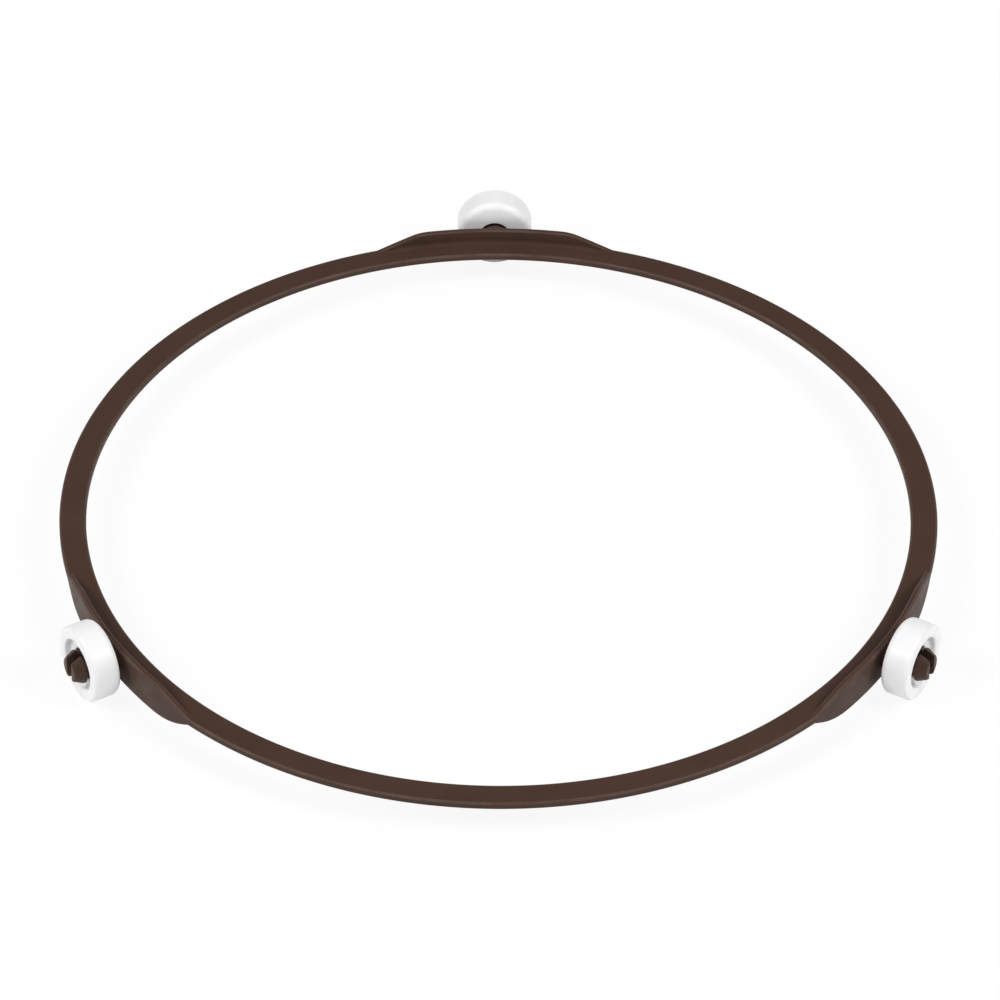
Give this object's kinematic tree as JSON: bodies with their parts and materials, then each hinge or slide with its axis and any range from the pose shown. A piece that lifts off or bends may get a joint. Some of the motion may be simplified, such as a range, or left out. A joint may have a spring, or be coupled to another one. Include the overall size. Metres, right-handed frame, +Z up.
{
  "type": "microwave roller ring",
  "caption": "Flat moulded ring with raised walls on its rim that carry free-turning rollers on split snap pins, to support a microwave oven's turntable tray.",
  "frame": {"origin": "centre of the ring, halfway up the flat band", "axes": "+Z up along the ring's axis, +Y towards the rear roller, +X to the right"},
  "size_m": [0.2, 0.2103, 0.0179],
  "materials": {
    "brown_plastic": "dark brown, moulded, slightly satin",
    "white_plastic": "white, moulded, smooth"
  },
  "bodies": {
    "ring": {"support_ring": "brown_plastic"},
    "rear_wheel": {"rear_roller": "white_plastic"},
    "left_wheel": {"left_roller": "white_plastic"},
    "right_wheel": {"right_roller": "white_plastic"}
  },
  "joints": [
    {"name": "rear_roller_spin", "type": "hinge", "parent": "ring", "child": "rear_wheel", "pos_m": [0, 0.105, 0.00075], "axis": [0, 1, 0], "continuous": true},
    {"name": "left_roller_spin", "type": "hinge", "parent": "ring", "child": "left_wheel", "pos_m": [-0.09093, -0.0525, 0.00075], "axis": [-0.866, -0.5, 0], "continuous": true},
    {"name": "right_roller_spin", "type": "hinge", "parent": "ring", "child": "right_wheel", "pos_m": [0.09093, -0.0525, 0.00075], "axis": [0.866, -0.5, 0], "continuous": true}
  ]
}
